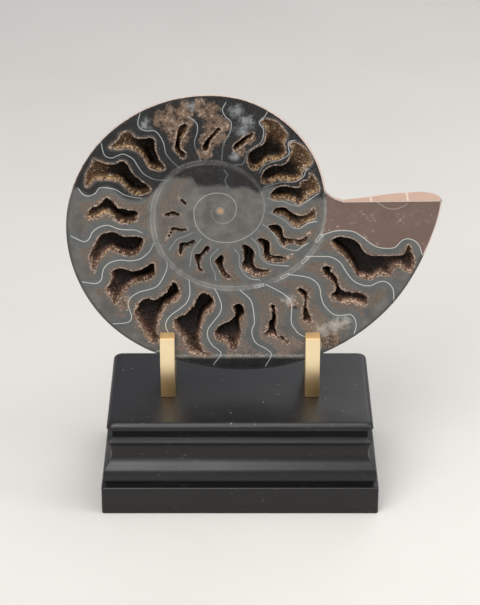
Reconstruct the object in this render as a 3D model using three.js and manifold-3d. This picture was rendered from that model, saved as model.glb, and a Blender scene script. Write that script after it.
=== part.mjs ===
// A cut and polished ammonite half, held upright by two square brass brackets on a moulded black plinth.
// Millimetres, +Z up. The cut face looks along -Y. The origin is the centre of the plinth's underside.

import * as THREE from 'three';
import { mergeVertices } from 'three/addons/utils/BufferGeometryUtils.js';
import Module from 'manifold-3d';

const wasm = await Module();
wasm.setup();

// Plinth: three stacked boards. An outset is measured from the top board's largest width and depth.
const plinthWidth = 165;
const plinthDepth = 97;
const slabHeight = 18.5;
const mouldingTop = 57;
const plinthHeight = 62;
const slabOutset = 4;
const slabRound = { foot: 0.8, edge: 1 };
const boardRound = { foot: 0.4, edge: 4.3 };
const cornerRadius = { slab: 1.5, moulding: 0.8, board: 4 };

// The moulding's edge from the slab up: a straight foot, a swept curve, and a lip under the set-back.
const mouldingFoot = [0.7, slabHeight];
const mouldingSweep = [
  [0.8, 20], [2.3, 22.9], [2.8, 26.2], [2.1, 29.5], [0.4, 32.2], [-1.6, 35.2], [-2.7, 38.6], [-2.5, 42.2],
  [-1.7, 45.6], [-0.5, 48.1],
];
const mouldingLip = [[-0.3, 48.8], [-3.2, 51.2], [-3.2, mouldingTop]];

// Brackets: square brass bar, an upright in front, a ledge under the shell and a shorter post behind.
const bar = 9.2;
const bracketSpacing = 90.6;
const bracketHeight = 41.3;
const ledgeTop = { left: 21.6, right: 21.2 };
const rearPostHeight = 35;
const shellSlot = 12.2;
const bracketFrontY = -14;

// Shell: lengths from the first chamber, at the coil's centre, on the cut face.
const gap = 0.3;
const faceY = bracketFrontY + bar + gap;
const shellCentreX = -12;
const shellCentreZ = plinthHeight + 124;
const umbilicusRatio = 0.25;
const halfThicknessRatio = 0.145;
const apertureHalfThickness = 13.3;
const apertureAngle = 363;
const brokenLipAngle = 322;
const brokenLipRadius = 60;
const pitDepthRatio = 0.052;
const shallowestPit = 2.6;
const deepestPit = 5.6;
const hollowMargin = 3;
const flankBluntness = 0.42;
const flankSkew = { whorl: 0.8, lip: 3.3 };
const firstChambers = { radius: 26, flatness: 0.2 };
const crystalSpacing = 2.4;
const crystalScatter = { row: 0.87, right: 0.8, up: 0.5, edge: 0.3 };
const crystalSteepness = 1.6;
const crystalJag = 1.6;
const crustEdgeDepth = 0.4;
const thinnestCrust = 0.7;

// The coil's stretches, from the mouth inwards: from and to in degrees, and the step between sections.
// The first one runs past the mouth, where the ground end cuts it off.
const stretches = [[180, 378, 5.5], [0, 180, 7.5], [-180, 0, 10], [-380, -180, 20]];

// A cutting shape reaches this far past what it cuts.
const overcut = 2;
const wellPast = 40;

const materials = {
  paint: new THREE.MeshStandardMaterial({ color: 0x2a2a2c, roughness: 0.45, metalness: 0 }),
  brass: new THREE.MeshStandardMaterial({ color: 0xd9b877, roughness: 0.3, metalness: 1 }),
  fossil: new THREE.MeshStandardMaterial({ color: 0x55585a, roughness: 0.25, metalness: 0 }),
  crystal: new THREE.MeshStandardMaterial({ color: 0x8a6240, roughness: 0.35, metalness: 0 }),
};

// The outer rim as a spiral: angle in degrees, counter-clockwise seen from the cut side, and radius.
// The last whorl runs from 11 to 363 degrees, and the one before it is the same curve a turn earlier.
const spiral = [
  [-420, 22.5], [-385, 25.5], [-345, 27.5], [-300, 29], [-262, 32.5], [-230, 37], [-200, 39.8],
  [-170, 42], [-140, 46.2], [-110, 49.8], [-80, 53.4], [-55, 57.4], [-31, 61.8], [-10, 64.6],
  [11, 65.4], [30, 67.5], [59, 71.2], [80, 74.3], [102, 76.8], [128, 81.2], [147, 85.4],
  [167, 90.3], [188, 95.3], [208, 99.9], [226, 103.7], [242, 105.6], [258, 106.4], [276, 110.1],
  [297, 115.3], [314, 119.8], [330, 124.2], [347, 128.6], [363, 134.9], [380, 140],
];

// The open hollows in the chambers, from the body chamber inwards: x to the right and z up, as seen
// from the cut side, with a corner wherever the hollow's edge turns.
const hollows = [
  [[68, -20], [72.5, -17], [76, -17.5], [81.5, -19], [85, -22], [88, -27], [92.5, -30], [99.5, -30],
    [107, -30], [112.5, -29], [115, -23], [116.5, -24], [117.5, -28], [119.5, -34], [118, -40],
    [114.5, -41], [110.5, -37.5], [106.5, -39], [103.5, -44], [98, -43], [93, -46], [87.5, -45],
    [84, -43], [81, -37], [76, -30], [71.5, -26]],
  [[62.5, -38], [66.5, -36.5], [68.5, -41], [71.5, -45], [73, -51], [76.5, -54], [82, -55],
    [87.5, -56.5], [91.5, -60], [89, -64], [82.5, -62], [75, -62], [69.5, -59], [69, -56],
    [71.5, -53], [69.5, -48], [65, -44]],
  [[46.5, -53], [50.5, -52.5], [54, -56], [53, -63.5], [54.5, -69], [56.5, -73.5], [56.5, -75.5],
    [53, -76.5], [51, -73.5], [51.5, -67.5], [52, -60], [49.5, -56]],
  [[31.5, -64.5], [33.5, -63.5], [34, -69], [34.5, -74], [34, -79.5], [35.5, -85], [39.5, -87],
    [41.5, -91], [35.5, -86.5], [30.5, -85], [27.5, -83.5], [30, -80.5], [30, -76.5], [32, -72]],
  [[7.5, -65], [12, -63], [14.5, -66.5], [14.5, -72], [12, -76.5], [12.5, -84], [10.5, -92],
    [9.5, -95.5], [6.5, -95], [3, -90], [-2.5, -88], [-3.5, -82.5], [0.5, -77.5], [5.5, -75],
    [9, -70.5]],
  [[-13, -57], [-8, -56.5], [-4, -62], [-6, -67], [-10.5, -72], [-12.5, -79], [-13.5, -87.5],
    [-11.5, -96], [-7, -98.5], [-13.5, -99], [-19, -97.5], [-22.5, -89], [-26.5, -82.5],
    [-29, -74.5], [-24.5, -71.5], [-19.5, -68], [-15.5, -62]],
  [[-51, -62], [-45.5, -59.5], [-39.5, -60], [-34, -55.5], [-29, -48.5], [-26, -52], [-25.5, -57],
    [-30, -62], [-34.5, -64.5], [-36.5, -68.5], [-39, -74.5], [-40, -82.5], [-38, -89], [-43, -90],
    [-47.5, -83], [-50.5, -77], [-53.5, -70.5], [-51.5, -65.5]],
  [[-67, -40.5], [-61.5, -38.5], [-54, -40.5], [-47.5, -38.5], [-41.5, -35], [-40.5, -40.5],
    [-41.5, -44.5], [-47, -47], [-53, -48.5], [-57.5, -52.5], [-62, -58.5], [-65.5, -63.5],
    [-67.5, -59.5], [-71, -53.5], [-68, -48.5], [-67, -44.5]],
  [[-80, -29], [-74, -17], [-69, -14.5], [-64, -14.5], [-59, -17], [-51.5, -17], [-47.5, -18],
    [-47.5, -22], [-50, -27.5], [-54.5, -30], [-61, -29], [-67, -26.5], [-72, -30], [-76, -36],
    [-78, -42], [-79.5, -37], [-80.5, -31.5]],
  [[-81, -3.5], [-79, 2], [-74, 3.5], [-70, 8.5], [-66.5, 7], [-62.5, 2.5], [-57, 1], [-52.5, 0],
    [-49.5, -1.5], [-51, -5], [-53.5, -7.5], [-58, -8], [-63, -6], [-66.5, -2.5], [-71, -1.5],
    [-75, -4], [-79, -5]],
  [[-81.5, 17.5], [-80, 25.5], [-77.5, 29.5], [-76, 34], [-73.5, 33], [-68, 31], [-63.5, 31],
    [-59.5, 33], [-56.5, 31.5], [-53.5, 26], [-49, 21], [-43, 16], [-43, 13], [-47.5, 11],
    [-53, 11.5], [-57, 15.5], [-60.5, 19.5], [-66, 21], [-71.5, 21], [-76, 20.5], [-79.5, 16.5]],
  [[-66, 42], [-61, 46.5], [-59, 50.5], [-54, 51.5], [-50.5, 48], [-46, 47.5], [-41, 48],
    [-39, 45.5], [-39, 40.5], [-37, 34.5], [-33.5, 29], [-34.5, 27], [-38, 27], [-42.5, 29],
    [-45, 34], [-48.5, 38.5], [-54.5, 41.5], [-59.5, 41], [-63, 41]],
  [[-24.5, 55], [-20, 57], [-19.5, 53.5], [-22.5, 48.5], [-24, 44.5], [-23.5, 40.5], [-20.5, 38],
    [-22, 34.5], [-24, 36], [-27, 40.5], [-26.5, 45.5]],
  [[-10, 43.5], [-6, 49.5], [-3, 52.5], [-1.5, 54.5], [1, 54], [-0.5, 52], [-3, 49.5], [-6, 45],
    [-7.5, 40], [-10, 40]],
  [[8.5, 43.5], [12.5, 47], [16, 49.5], [20, 51.5], [19.5, 49], [16, 45.5], [12, 42], [9.5, 40],
    [8, 41]],
  [[25, 58.5], [26.5, 60], [30, 59.5], [33, 58.5], [36, 56], [38.5, 52.5], [40, 50], [39, 47],
    [38, 44], [39, 41], [39, 37.5], [36, 34], [32.5, 33.5], [28, 33], [24.5, 29.5], [21.5, 27.5],
    [18.5, 28], [16.5, 33], [17.5, 38], [21.5, 41.5], [26, 44], [27.5, 49], [28, 53.5], [26.5, 56]],
  [[42, 43.5], [43.5, 45], [48, 43.5], [52.5, 39.5], [55, 34], [54.5, 31], [51, 28], [49, 26],
    [49, 23], [45.5, 20], [41, 20], [36, 21], [31, 19], [27.5, 18], [25, 20], [25.5, 24], [28, 28],
    [32.5, 30], [37.5, 30], [41, 33], [43, 38], [43.5, 41.5]],
  [[30.5, 11.5], [34.5, 15.5], [39.5, 16.5], [44, 15.5], [48, 15.5], [49.5, 19.5], [53.5, 21],
    [54.5, 25], [56.5, 23], [59, 18], [59.5, 13.5], [56, 11.5], [53, 9.5], [50.5, 5.5],
    [47.5, 4.5], [44.5, 6.5], [40.5, 8], [35.5, 7.5], [31.5, 8.5]],
  [[32, 0], [35, 2.5], [39.5, 2.5], [42.5, 0], [45.5, -2], [50, -3], [54.5, -1], [57, 2],
    [58, -1], [57.5, -5], [54, -7], [49.5, -10.5], [46, -10.5], [42.5, -7], [39.5, -3.5],
    [35.5, -2], [32.5, -1.5]],
  [[29, -10.5], [33.5, -9], [37.5, -11], [39, -17], [43.5, -18.5], [48.5, -19], [51.5, -17.5],
    [54.5, -14.5], [52.5, -20], [49.5, -23], [45.5, -21.5], [41.5, -22], [39, -23.5],
    [37, -20.5], [35, -17]],
  [[22.5, -19], [25.5, -18], [29.5, -20], [30.5, -23.5], [30.5, -28.5], [33, -30], [37, -30],
    [40.5, -31], [44.5, -28.5], [41, -32.5], [37, -34.5], [32, -34], [28.5, -33], [26.5, -30],
    [26.5, -25.5], [24.5, -22]],
  [[13, -23.5], [15.5, -22.5], [19, -25], [21, -28.5], [20.5, -33], [21, -37], [24.5, -39],
    [28.5, -39.5], [31, -39.5], [29, -42], [24.5, -44], [21, -44], [17, -41], [14, -39],
    [13, -35.5], [14.5, -32.5], [14, -28]],
  [[-3.5, -34], [0, -29.5], [2, -31.5], [1.5, -36], [3, -40.5], [5, -42.5], [6.5, -45.5],
    [3, -45], [0.5, -42], [-1.5, -38]],
  [[-16, -29.5], [-12, -28], [-9, -23.5], [-6.5, -24], [-7.5, -27], [-11, -30], [-12.5, -34],
    [-12.5, -37.5], [-10.5, -41], [-13.5, -39.5], [-14.5, -35.5]],
  [[-25, -21.5], [-20.5, -21], [-16, -19], [-15.5, -21.5], [-19.5, -23.5], [-22.5, -25.5],
    [-24, -29.5], [-25.5, -28]],
  [[-33.5, -19], [-31.5, -15], [-29, -10.5], [-24, -12], [-20, -11], [-20.5, -13], [-24.5, -13.5],
    [-28.5, -13], [-30.5, -16.5]],
  [[-34.5, -2.5], [-29, 0], [-25.5, -1.5], [-22.5, -3], [-22.5, -4], [-27.5, -3], [-31.5, -3.5]],
  [[-26, 9.5], [-23, 8], [-20.5, 5.5], [-21, 4], [-23.5, 6]],
];

// The ground end of the body chamber, with the small hollow where it meets the whorl below.
const endCut = [[62, 60], [62, 14], [64.5, 12.5], [67, 10], [70, 8.2], [75, 6.4], [145, 7.1], [145, 60]];

function geometryOf(points, triangles) {
  const geometry = new THREE.BufferGeometry();
  geometry.setAttribute('position', new THREE.Float32BufferAttribute(points.flat(), 3));
  geometry.setIndex(triangles.flat());
  return geometry;
}

function solidOf(geometry) {
  const bare = geometry.clone();
  bare.deleteAttribute('normal');
  bare.deleteAttribute('uv');
  const merged = mergeVertices(bare, 1e-4);
  return new wasm.Manifold(new wasm.Mesh({
    numProp: 3,
    vertProperties: new Float32Array(merged.attributes.position.array),
    triVerts: new Uint32Array(merged.index.array),
  }));
}

function geometryFrom(solid) {
  const mesh = solid.getMesh();
  const geometry = new THREE.BufferGeometry();
  geometry.setAttribute('position', new THREE.BufferAttribute(mesh.vertProperties, 3));
  geometry.setIndex(new THREE.BufferAttribute(mesh.triVerts, 1));
  return geometry;
}

function named(name, geometry, material) {
  const mesh = new THREE.Mesh(geometry, material);
  mesh.name = name;
  return mesh;
}

// A closed skin over rings of equal length, each ring counter-clockwise about the stacking direction.
function stackRings(rings, capTriangles) {
  const count = rings[0].length;
  const last = (rings.length - 1) * count;
  const triangles = [];
  for (let level = 0; level < rings.length - 1; level += 1) {
    for (let i = 0; i < count; i += 1) {
      const a = level * count + i;
      const b = level * count + ((i + 1) % count);
      triangles.push([a, b, b + count], [a, b + count, a + count]);
    }
  }
  for (const [a, b, c] of capTriangles) {
    triangles.push([a, c, b], [last + a, last + b, last + c]);
  }
  return geometryOf(rings.flat(), triangles);
}

// Plinth boards: one rounded rectangle for each level of the board's moulded edge.
function roundedRectangle(outset, z, radius, steps) {
  const halfWidth = plinthWidth / 2 + outset - radius;
  const halfDepth = plinthDepth / 2 + outset - radius;
  const corners = [[1, 1], [-1, 1], [-1, -1], [1, -1]];
  return corners.flatMap(([sx, sy], quarter) => Array.from({ length: steps + 1 }, (_, i) => {
    const angle = (quarter + i / steps) * Math.PI / 2;
    return [sx * halfWidth + radius * Math.cos(angle), sy * halfDepth + radius * Math.sin(angle), z];
  }));
}

function board(profile, cornerRadius, cornerSteps) {
  const rings = profile.map(([outset, z]) => roundedRectangle(outset, z, cornerRadius, cornerSteps));
  const fan = Array.from({ length: rings[0].length - 2 }, (_, i) => [0, i + 1, i + 2]);
  return stackRings(rings, fan);
}

// A quarter round of the profile, from one angle to another, in degrees from the outward direction.
function arc(outset, z, radius, from, to, steps) {
  return Array.from({ length: steps + 1 }, (_, i) => {
    const angle = THREE.MathUtils.degToRad(from + (to - from) * i / steps);
    return [outset + radius * Math.cos(angle), z + radius * Math.sin(angle)];
  });
}

function makePlinth() {
  const slab = board([
    ...arc(slabOutset - slabRound.foot, slabRound.foot, slabRound.foot, -90, 0, 2),
    ...arc(slabOutset - slabRound.edge, slabHeight - slabRound.edge, slabRound.edge, 0, 90, 2),
  ], cornerRadius.slab, 2);
  const sweep = new THREE.SplineCurve(mouldingSweep.map(([outset, z]) => new THREE.Vector2(outset, z)));
  const sweepPoints = sweep.getPoints(2 * mouldingSweep.length).map((point) => point.toArray());
  const moulding = board([mouldingFoot, ...sweepPoints, ...mouldingLip], cornerRadius.moulding, 1);
  const top = board([
    ...arc(-boardRound.foot, mouldingTop + boardRound.foot, boardRound.foot, -90, 0, 2),
    ...arc(-boardRound.edge, plinthHeight - boardRound.edge, boardRound.edge, 0, 90, 5),
  ], cornerRadius.board, 4);
  const group = new THREE.Group();
  group.add(
    named('plinth_base_slab', slab, materials.paint),
    named('plinth_moulding', moulding, materials.paint),
    named('plinth_top_board', top, materials.paint),
  );
  return group;
}

// A bracket from the side: forwards is -Y and up is +Z, from the front foot on the plinth's top.
function bracket(name, centreX, ledge) {
  const rear = bar + shellSlot;
  const outline = new THREE.Shape([
    [0, 0], [bar, 0], [bar, ledge - bar], [rear, ledge - bar], [rear, 0], [rear + bar, 0],
    [rear + bar, rearPostHeight], [rear, rearPostHeight], [rear, ledge], [bar, ledge],
    [bar, bracketHeight], [0, bracketHeight],
  ].map(([y, z]) => new THREE.Vector2(y, z)));
  const geometry = new THREE.ExtrudeGeometry(outline, { depth: bar, bevelEnabled: false });
  geometry.rotateX(Math.PI / 2).rotateZ(Math.PI / 2);
  const mesh = named(name, geometry, materials.brass);
  mesh.position.set(centreX - bar / 2, bracketFrontY, plinthHeight);
  return mesh;
}

// The rim radius at an angle, along a smooth curve through the spiral's points.
const spiralCurve = new THREE.CatmullRomCurve3(
  spiral.map(([angle, radius]) => new THREE.Vector3(angle, radius, 0)), false, 'catmullrom', 0.5,
);

function rimRadius(angle) {
  let low = 0;
  let high = 1;
  for (let i = 0; i < 24; i += 1) {
    const middle = (low + high) / 2;
    if (spiralCurve.getPoint(middle).x < angle) low = middle;
    else high = middle;
  }
  return spiralCurve.getPoint(low).y;
}

// One half-section of a whorl at an angle: from its inner edge, over the flank, to the rim.
function whorlSection(angle, steps) {
  const rim = rimRadius(angle);
  const broken = THREE.MathUtils.smoothstep(angle, brokenLipAngle, apertureAngle);
  const inner = THREE.MathUtils.lerp(umbilicusRatio * rim, brokenLipRadius, broken);
  const thickness = THREE.MathUtils.lerp(halfThicknessRatio * rim, apertureHalfThickness, broken);
  const skew = THREE.MathUtils.lerp(flankSkew.whorl, flankSkew.lip, broken);
  const turn = THREE.MathUtils.degToRad(angle);
  const at = (radius, depth) => [radius * Math.cos(turn), depth, radius * Math.sin(turn)];
  const flank = Array.from({ length: steps + 1 }, (_, i) => {
    const across = (1 - Math.cos(Math.PI * i / steps)) / 2;
    const rise = across ** skew;
    return at(inner + (rim - inner) * across, thickness * (4 * rise * (1 - rise)) ** flankBluntness);
  });
  return [at(rim, -overcut), ...flank.reverse(), at(inner, -overcut)];
}

function whorl(from, to, step) {
  const flankSteps = 9;
  const stations = Math.round((to - from) / step);
  const rings = Array.from({ length: stations + 1 }, (_, i) => (
    whorlSection(from + (to - from) * i / stations, flankSteps)
  ));
  const fan = Array.from({ length: rings[0].length - 2 }, (_, i) => [0, i + 1, i + 2]);
  return solidOf(stackRings(rings, fan));
}

function prism(outline, front, back) {
  const shape = new THREE.Shape(outline.map(([x, z]) => new THREE.Vector2(x, -z)));
  const geometry = new THREE.ExtrudeGeometry(shape, { depth: back - front, bevelEnabled: false });
  geometry.rotateX(-Math.PI / 2).translate(0, front, 0);
  return solidOf(geometry);
}

function makeShell(pits) {
  const [mouth, ...inwards] = stretches.map((stretch) => whorl(...stretch));
  const { radius, flatness } = firstChambers;
  const centre = new THREE.SphereGeometry(radius, 24, 8).scale(1, flatness, 1);
  const reach = 4 * rimRadius(apertureAngle);
  const front = new THREE.BoxGeometry(reach, wellPast, reach).translate(0, -wellPast / 2, 0);
  let shell = mouth.subtract(prism(endCut, -wellPast, wellPast));
  for (const part of [...inwards, solidOf(centre)]) shell = shell.add(part);
  for (const cut of [solidOf(front), ...pits]) shell = shell.subtract(cut);
  return named('ammonite_half', geometryFrom(shell), materials.fossil);
}

// Outline helpers, for closed outlines in face coordinates.
function counterClockwise(outline) {
  const points = outline.map(([x, z]) => new THREE.Vector2(x, z));
  return THREE.ShapeUtils.isClockWise(points) ? points.reverse() : points;
}

function grown(points, distance) {
  return points.map((point, i) => {
    const before = points[(i + points.length - 1) % points.length];
    const after = points[(i + 1) % points.length];
    const into = point.clone().sub(before).normalize();
    const out = after.clone().sub(point).normalize();
    const normal = new THREE.Vector2(into.y + out.y, -into.x - out.x);
    const reach = Math.min(2, 2 / Math.max(normal.lengthSq(), 0.01));
    return [point.x + normal.x * reach * distance, point.y + normal.y * reach * distance];
  });
}

function edgeDistance(point, points) {
  return Math.min(...points.map((a, i) => {
    const b = points[(i + 1) % points.length];
    const along = b.clone().sub(a);
    const share = THREE.MathUtils.clamp(point.clone().sub(a).dot(along) / along.lengthSq(), 0, 1);
    return point.distanceTo(a.clone().addScaledVector(along, share));
  }));
}

function inside(point, points) {
  return points.reduce((crossed, a, i) => {
    const b = points[(i + 1) % points.length];
    const spans = (a.y > point.y) !== (b.y > point.y);
    return spans && point.x < a.x + (b.x - a.x) * (point.y - a.y) / (b.y - a.y) ? !crossed : crossed;
  }, false);
}

function side(a, b, c) {
  return (b.x - a.x) * (c.y - a.y) - (b.y - a.y) * (c.x - a.x);
}

function inCircle(a, b, c, p) {
  const [ax, ay, bx, by, cx, cy] = [a.x - p.x, a.y - p.y, b.x - p.x, b.y - p.y, c.x - p.x, c.y - p.y];
  return (ax * ax + ay * ay) * (bx * cy - cx * by) - (bx * bx + by * by) * (ax * cy - cx * ay)
    + (cx * cx + cy * cy) * (ax * by - bx * ay) > 1e-9;
}

// Even triangles over an outline and the loose points inside it.
function triangulate(points, loose) {
  const all = [...points, ...loose];
  let triangles = THREE.ShapeUtils.triangulateShape(points, []).map((t) => [...t]);
  for (let k = points.length; k < all.length; k += 1) {
    const hit = triangles.findIndex(([a, b, c]) => side(all[a], all[b], all[k]) > 0
      && side(all[b], all[c], all[k]) > 0 && side(all[c], all[a], all[k]) > 0);
    if (hit >= 0) {
      const [a, b, c] = triangles[hit];
      triangles.splice(hit, 1, [a, b, k], [b, c, k], [c, a, k]);
    }
  }
  for (let pass = 0, flipped = true; flipped && pass < 60; pass += 1) {
    flipped = false;
    for (let i = 0; i < triangles.length; i += 1) {
      for (let j = i + 1; j < triangles.length && !flipped; j += 1) {
        const shared = triangles[i].filter((v) => triangles[j].includes(v));
        const far = triangles[j].find((v) => !triangles[i].includes(v));
        if (shared.length === 2) {
          let [a, b, c] = triangles[i];
          while (shared.includes(a)) [a, b, c] = [b, c, a];
          const open = side(all[a], all[b], all[far]) > 1e-6 && side(all[a], all[far], all[c]) > 1e-6;
          if (open && inCircle(all[a], all[b], all[c], all[far])) {
            triangles[i] = [a, b, far];
            triangles[j] = [a, far, c];
            flipped = true;
          }
        }
      }
    }
  }
  return triangles;
}

// A repeatable scatter between 0 and 1.
function scatter(seed) {
  const value = Math.sin(seed * 127.1 + 311.7) * 43758.5453;
  return value - Math.floor(value);
}

function crystalSites(points, spacing) {
  const box = new THREE.Box2().setFromPoints(points);
  const sites = [];
  for (let z = box.min.y; z < box.max.y; z += spacing * crystalScatter.row) {
    for (let x = box.min.x; x < box.max.x; x += spacing) {
      const right = x + scatter(x + z) * spacing * crystalScatter.right;
      const site = new THREE.Vector2(right, z + scatter(x - z) * spacing * crystalScatter.up);
      const clear = edgeDistance(site, points) > spacing * crystalScatter.edge;
      if (clear && inside(site, points)) sites.push(site);
    }
  }
  return sites;
}

// The crystal crust of one hollow: a jagged, sunken front and a flat back.
function crystalCrust(name, points, depth) {
  const sites = crystalSites(points, crystalSpacing);
  const front = triangulate(points, sites);
  const back = THREE.ShapeUtils.triangulateShape(points, []);
  const count = points.length;
  const sunk = sites.map((site, i) => {
    const jag = (scatter(i + site.x) - 0.5) * crystalJag;
    const bowl = crustEdgeDepth + crystalSteepness * edgeDistance(site, points) + jag;
    return THREE.MathUtils.clamp(bowl, crustEdgeDepth, depth - thinnestCrust);
  });
  const vertices = [
    ...points.map((p) => [p.x, crustEdgeDepth, p.y]),
    ...sites.map((p, i) => [p.x, sunk[i], p.y]),
    ...points.map((p) => [p.x, depth, p.y]),
  ];
  const base = count + sites.length;
  const triangles = [...front, ...back.map(([a, b, c]) => [base + a, base + c, base + b])];
  for (let i = 0; i < count; i += 1) {
    const j = (i + 1) % count;
    triangles.push([i, base + i, base + j], [i, base + j, j]);
  }
  return named(name, geometryOf(vertices, triangles), materials.crystal);
}

function makeFossil() {
  const group = new THREE.Group();
  group.position.set(shellCentreX, faceY, shellCentreZ);
  const outlines = hollows.map(counterClockwise);
  const depths = outlines.map((points) => {
    const middle = points.reduce((sum, p) => sum.add(p), new THREE.Vector2()).divideScalar(points.length);
    const angle = THREE.MathUtils.radToDeg(Math.atan2(middle.y, middle.x));
    const turns = [angle - 360, angle, angle + 360].filter((turn) => turn > spiral[0][0]);
    const whorlAround = turns.find((turn) => rimRadius(turn) > middle.length() + hollowMargin);
    return THREE.MathUtils.clamp(pitDepthRatio * rimRadius(whorlAround), shallowestPit, deepestPit);
  });
  group.add(makeShell(outlines.map((points, i) => prism(grown(points, gap), -overcut, depths[i] + gap))));
  outlines.forEach((points, i) => {
    group.add(crystalCrust(`chamber_crystals_${String(i + 1).padStart(2, '0')}`, points, depths[i]));
  });
  return group;
}

const object = new THREE.Group();
object.add(
  makePlinth(),
  bracket('bracket_left', -bracketSpacing / 2, ledgeTop.left),
  bracket('bracket_right', bracketSpacing / 2, ledgeTop.right),
  makeFossil(),
);

export default object;
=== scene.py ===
"""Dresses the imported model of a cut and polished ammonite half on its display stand, and stages it."""

import logging
import math
from collections.abc import Iterable, Sequence
from dataclasses import dataclass, field
from enum import Enum
from functools import cached_property

import bmesh
import bpy
import numpy as np
from bmesh.types import BMEdge, BMesh, BMFace, BMVert
from bpy.types import Material, Mesh, NodeSocket, Object
from mathutils import Matrix, Vector, kdtree


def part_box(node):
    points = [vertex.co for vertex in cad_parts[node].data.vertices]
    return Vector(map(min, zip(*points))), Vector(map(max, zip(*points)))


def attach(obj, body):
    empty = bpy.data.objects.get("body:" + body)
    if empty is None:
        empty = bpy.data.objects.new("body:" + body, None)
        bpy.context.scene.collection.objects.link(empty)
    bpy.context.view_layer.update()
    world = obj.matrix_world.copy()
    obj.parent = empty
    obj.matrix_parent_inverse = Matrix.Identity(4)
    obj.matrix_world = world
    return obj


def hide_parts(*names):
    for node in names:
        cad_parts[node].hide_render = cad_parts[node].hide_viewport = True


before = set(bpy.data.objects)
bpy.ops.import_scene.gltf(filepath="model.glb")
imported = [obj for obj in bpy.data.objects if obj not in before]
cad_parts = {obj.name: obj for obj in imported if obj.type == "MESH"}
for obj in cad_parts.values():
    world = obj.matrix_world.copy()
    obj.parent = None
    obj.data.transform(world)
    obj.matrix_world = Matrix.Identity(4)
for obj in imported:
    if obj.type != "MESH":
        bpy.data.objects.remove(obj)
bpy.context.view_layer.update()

log = logging.getLogger("ammonite")
Array = np.ndarray
Points = Sequence[tuple[float, float]]
Triple = tuple[float, float, float]

# Lengths are in millimetres unless a name says otherwise. The face's own coordinates are x to the right
# and z up from the first chamber, and depth behind the cut. Points along its curves are FINE apart, and
# what is within TOUCH of a curve lies on it.
MM = 0.001
FINE = 0.2
TOUCH = 0.02
FIRST_CHAMBER = Vector((-12.0, -4.5, 186.0))
TO_METRES = Matrix.Scale(MM, 4)
TO_FACE = TO_METRES @ Matrix.Translation(FIRST_CHAMBER)

# The outer rim as a spiral: angle in degrees, counter-clockwise seen from the cut side, and radius.
SPIRAL = (
    (-910, 5.3), (-867, 6.2), (-819, 8.1), (-783, 9.0), (-741, 9.4), (-705, 10.3), (-664, 11.4),
    (-621, 12.3), (-577, 14.2), (-550, 15.8), (-525, 16.6), (-494, 18.4), (-468, 20.1), (-440, 21.6),
    (-412, 23.4), (-385, 25.5), (-345, 27.5), (-300, 29), (-262, 32.5), (-230, 37), (-200, 39.8),
    (-170, 42), (-140, 46.2), (-110, 49.8), (-80, 53.4), (-55, 57.4), (-31, 61.8), (-10, 64.6),
    (11, 65.4), (30, 67.5), (59, 71.2), (80, 74.3), (102, 76.8), (128, 81.2), (147, 85.4),
    (167, 90.3), (188, 95.3), (208, 99.9), (226, 103.7), (242, 105.6), (258, 106.4), (276, 110.1),
    (297, 115.3), (314, 119.8), (330, 124.2), (347, 128.6), (363, 134.9), (380, 140),
)

# The plinth moulding's swept edge from its foot to its lip: outset and height.
SWEEP = (
    (0.8, 20), (2.3, 22.9), (2.8, 26.2), (2.1, 29.5), (0.4, 32.2), (-1.6, 35.2), (-2.7, 38.6), (-2.5, 42.2),
    (-1.7, 45.6), (-0.5, 48.1),
)

# The ground end of the body chamber, from the whorl below it out to the tip.
END_CUT = ((64.0, 13.7), (64.6, 12.5), (67, 10), (70, 8.2), (75, 6.4), (95, 6.6), (115, 6.8), (134.3, 7.0))

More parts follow.
